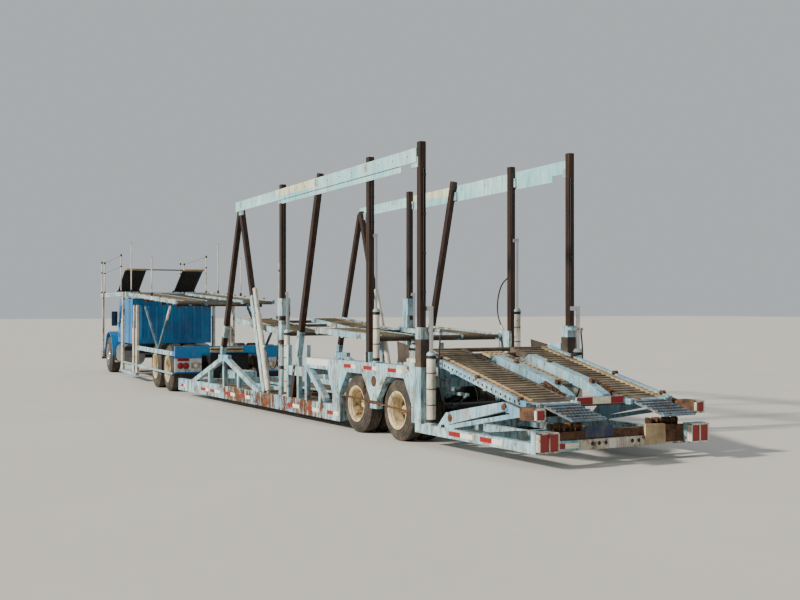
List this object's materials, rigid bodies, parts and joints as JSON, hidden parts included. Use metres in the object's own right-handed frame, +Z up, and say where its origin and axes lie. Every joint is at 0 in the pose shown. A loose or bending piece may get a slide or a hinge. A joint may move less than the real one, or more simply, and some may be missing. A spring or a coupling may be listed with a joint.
{
  "type": "car transporter truck",
  "caption": "Stinger-steered car transporter: a blue low tractor with a head rack, hinged to a drop-frame semi-trailer with a post rack and lowered decks.",
  "frame": {"origin": "on the ground, in the middle of the whole vehicle's length and width", "axes": "+X forward along the trailer, +Y to the vehicle's left, +Z up; the tractor is turned 5.5 degrees to the right"},
  "size_m": [23.5686, 3.471, 4.06],
  "materials": {
    "rack_paint": "weathered light blue paint with rust",
    "post_steel": "dark brown greased steel",
    "deck_steel": "worn bare steel tread",
    "cylinder_paint": "cream white paint",
    "rod_chrome": "polished rod",
    "axle_black": "black paint",
    "tyre_rubber": "worn tread rubber on painted rims",
    "lamp_red": "red lamp boxes",
    "tractor_paint": "blue paint",
    "frame_black": "chassis black",
    "flap_rubber": "rubber sheet",
    "glass": "window glass",
    "bright_metal": "bright plated steel",
    "lamp_clear": "clear lamp lens",
    "tank_aluminium": "bare aluminium",
    "trim_plastic": "cab trim and seats",
    "engine_iron": "painted iron block",
    "hose_rubber": "black hydraulic hose"
  },
  "bodies": {
    "trailer": {"lower_frame": "rack_paint", "low_tracks": "deck_steel", "wheel_frames": "rack_paint", "frame_crossbars": "rack_paint", "rear_frame": "rack_paint", "tail_lamps": "lamp_red", "corner_braces": "rack_paint", "rack_posts": "post_steel", "top_rails": "rack_paint", "post_sleeves": "rack_paint", "cylinder_barrels": "cylinder_paint", "cylinder_rods": "rod_chrome", "trailer_axles": "axle_black", "support_arms": "rack_paint", "lift_hose_left": "hose_rubber", "lift_hose_right": "hose_rubber", "post_hose": "hose_rubber", "rack_hose": "hose_rubber"},
    "tractor": {"chassis": "frame_black", "side_masts": "tractor_paint", "side_rails": "tractor_paint", "rear_body": "tractor_paint", "mud_flaps": "flap_rubber", "drive_axles": "axle_black", "steer_beam": "axle_black", "cab_shell": "tractor_paint", "windshield": "glass", "hood": "tractor_paint", "bumper": "bright_metal", "head_lamps": "lamp_clear", "engine_block": "engine_iron", "cab_interior": "trim_plastic", "tanks_and_steps": "tank_aluminium", "head_rack": "rack_paint"},
    "trailer_rear_wheels_left": {"trailer_rear_wheels_left": "tyre_rubber"},
    "trailer_rear_wheels_right": {"trailer_rear_wheels_right": "tyre_rubber"},
    "trailer_front_wheels_left": {"trailer_front_wheels_left": "tyre_rubber"},
    "trailer_front_wheels_right": {"trailer_front_wheels_right": "tyre_rubber"},
    "drive_rear_wheels_left": {"drive_rear_wheels_left": "tyre_rubber"},
    "drive_rear_wheels_right": {"drive_rear_wheels_right": "tyre_rubber"},
    "drive_front_wheels_left": {"drive_front_wheels_left": "tyre_rubber"},
    "drive_front_wheels_right": {"drive_front_wheels_right": "tyre_rubber"},
    "knuckle_left": {"knuckle_left": "axle_black"},
    "knuckle_right": {"knuckle_right": "axle_black"},
    "steer_wheel_left": {"steer_wheel_left": "tyre_rubber"},
    "steer_wheel_right": {"steer_wheel_right": "tyre_rubber"},
    "door_left": {"door_left": "tractor_paint", "door_glass_left": "glass"},
    "door_right": {"door_right": "tractor_paint", "door_glass_right": "glass"},
    "rear_deck": {"rear_deck": "deck_steel"},
    "end_flap_left": {"end_flap_left": "rack_paint"},
    "end_flap_right": {"end_flap_right": "rack_paint"},
    "middle_deck": {"middle_deck": "deck_steel"},
    "front_deck": {"front_deck": "deck_steel"},
    "tractor_deck": {"tractor_deck": "deck_steel"},
    "head_ramps": {"head_ramps": "frame_black"}
  },
  "joints": [
    {"name": "hitch_turn", "type": "hinge", "parent": "trailer", "child": "tractor", "pos_m": [1.37894, 0.45314, 0.43], "axis": [0, 0, 1], "range_deg": [-24.5, 35.5]},
    {"name": "trailer_rear_wheels_left_roll", "type": "hinge", "parent": "trailer", "child": "trailer_rear_wheels_left", "pos_m": [-8.21106, 0.45314, 0.425], "axis": [0, 1, 0], "continuous": true},
    {"name": "trailer_rear_wheels_right_roll", "type": "hinge", "parent": "trailer", "child": "trailer_rear_wheels_right", "pos_m": [-8.21106, 0.45314, 0.425], "axis": [0, 1, 0], "continuous": true},
    {"name": "trailer_front_wheels_left_roll", "type": "hinge", "parent": "trailer", "child": "trailer_front_wheels_left", "pos_m": [-6.96606, 0.45314, 0.425], "axis": [0, 1, 0], "continuous": true},
    {"name": "trailer_front_wheels_right_roll", "type": "hinge", "parent": "trailer", "child": "trailer_front_wheels_right", "pos_m": [-6.96606, 0.45314, 0.425], "axis": [0, 1, 0], "continuous": true},
    {"name": "drive_rear_wheels_left_roll", "type": "hinge", "parent": "tractor", "child": "drive_rear_wheels_left", "pos_m": [2.37434, 0.35729, 0.5], "axis": [0.0958, 0.9954, 0], "continuous": true},
    {"name": "drive_rear_wheels_right_roll", "type": "hinge", "parent": "tractor", "child": "drive_rear_wheels_right", "pos_m": [2.37434, 0.35729, 0.5], "axis": [0.0958, 0.9954, 0], "continuous": true},
    {"name": "drive_front_wheels_left_roll", "type": "hinge", "parent": "tractor", "child": "drive_front_wheels_left", "pos_m": [3.68826, 0.23077, 0.5], "axis": [0.0958, 0.9954, 0], "continuous": true},
    {"name": "drive_front_wheels_right_roll", "type": "hinge", "parent": "tractor", "child": "drive_front_wheels_right", "pos_m": [3.68826, 0.23077, 0.5], "axis": [0.0958, 0.9954, 0], "continuous": true},
    {"name": "steer_left", "type": "hinge", "parent": "tractor", "child": "knuckle_left", "pos_m": [10.46874, 0.43182, 0.45], "axis": [0, 0, 1], "range_deg": [-32, 32]},
    {"name": "steer_right", "type": "hinge", "parent": "tractor", "child": "knuckle_right", "pos_m": [10.30581, -1.26035, 0.45], "axis": [0, 0, 1], "range_deg": [-32, 32]},
    {"name": "steer_wheel_left_roll", "type": "hinge", "parent": "knuckle_left", "child": "steer_wheel_left", "pos_m": [10.38728, -0.41427, 0.5], "axis": [0.0958, 0.9954, 0], "continuous": true},
    {"name": "steer_wheel_right_roll", "type": "hinge", "parent": "knuckle_right", "child": "steer_wheel_right", "pos_m": [10.38728, -0.41427, 0.5], "axis": [0.0958, 0.9954, 0], "continuous": true},
    {"name": "door_left_swing", "type": "hinge", "parent": "tractor", "child": "door_left", "pos_m": [9.51178, 0.73895, 1.3], "axis": [0, 0, -1], "range_deg": [0, 65]},
    {"name": "door_right_swing", "type": "hinge", "parent": "tractor", "child": "door_right", "pos_m": [9.30782, -1.37925, 1.3], "axis": [0, 0, 1], "range_deg": [0, 65]},
    {"name": "rear_deck_tilt", "type": "hinge", "parent": "trailer", "child": "rear_deck", "pos_m": [-8.52106, 0.45314, 1.25], "axis": [0, 1, 0], "range_deg": [0, 12]},
    {"name": "end_flap_left_fold", "type": "hinge", "parent": "rear_deck", "child": "end_flap_left", "pos_m": [-11.14106, 0.45314, 0.69], "axis": [0, 1, 0], "range_deg": [0, 120]},
    {"name": "end_flap_right_fold", "type": "hinge", "parent": "rear_deck", "child": "end_flap_right", "pos_m": [-11.14106, 0.45314, 0.69], "axis": [0, 1, 0], "range_deg": [0, 120]},
    {"name": "middle_deck_tilt", "type": "hinge", "parent": "trailer", "child": "middle_deck", "pos_m": [-7.24106, 0.45314, 1.4], "axis": [0, -1, 0], "range_deg": [-3, 18]},
    {"name": "front_deck_tilt", "type": "hinge", "parent": "trailer", "child": "front_deck", "pos_m": [-4.01106, 0.45314, 1.4], "axis": [0, -1, 0], "range_deg": [-4, 15]},
    {"name": "tractor_deck_tilt", "type": "hinge", "parent": "tractor", "child": "tractor_deck", "pos_m": [7.69971, -0.15549, 2.19], "axis": [0.0958, 0.9954, 0], "range_deg": [-7, 2]},
    {"name": "head_ramps_fold", "type": "hinge", "parent": "tractor", "child": "head_ramps", "pos_m": [9.54119, -0.3328, 2.29], "axis": [0.0958, 0.9954, 0], "range_deg": [-24, 30]}
  ],
  "couplings": [
    {"joint": "steer_right", "follows": "steer_left", "ratio": 1}
  ]
}
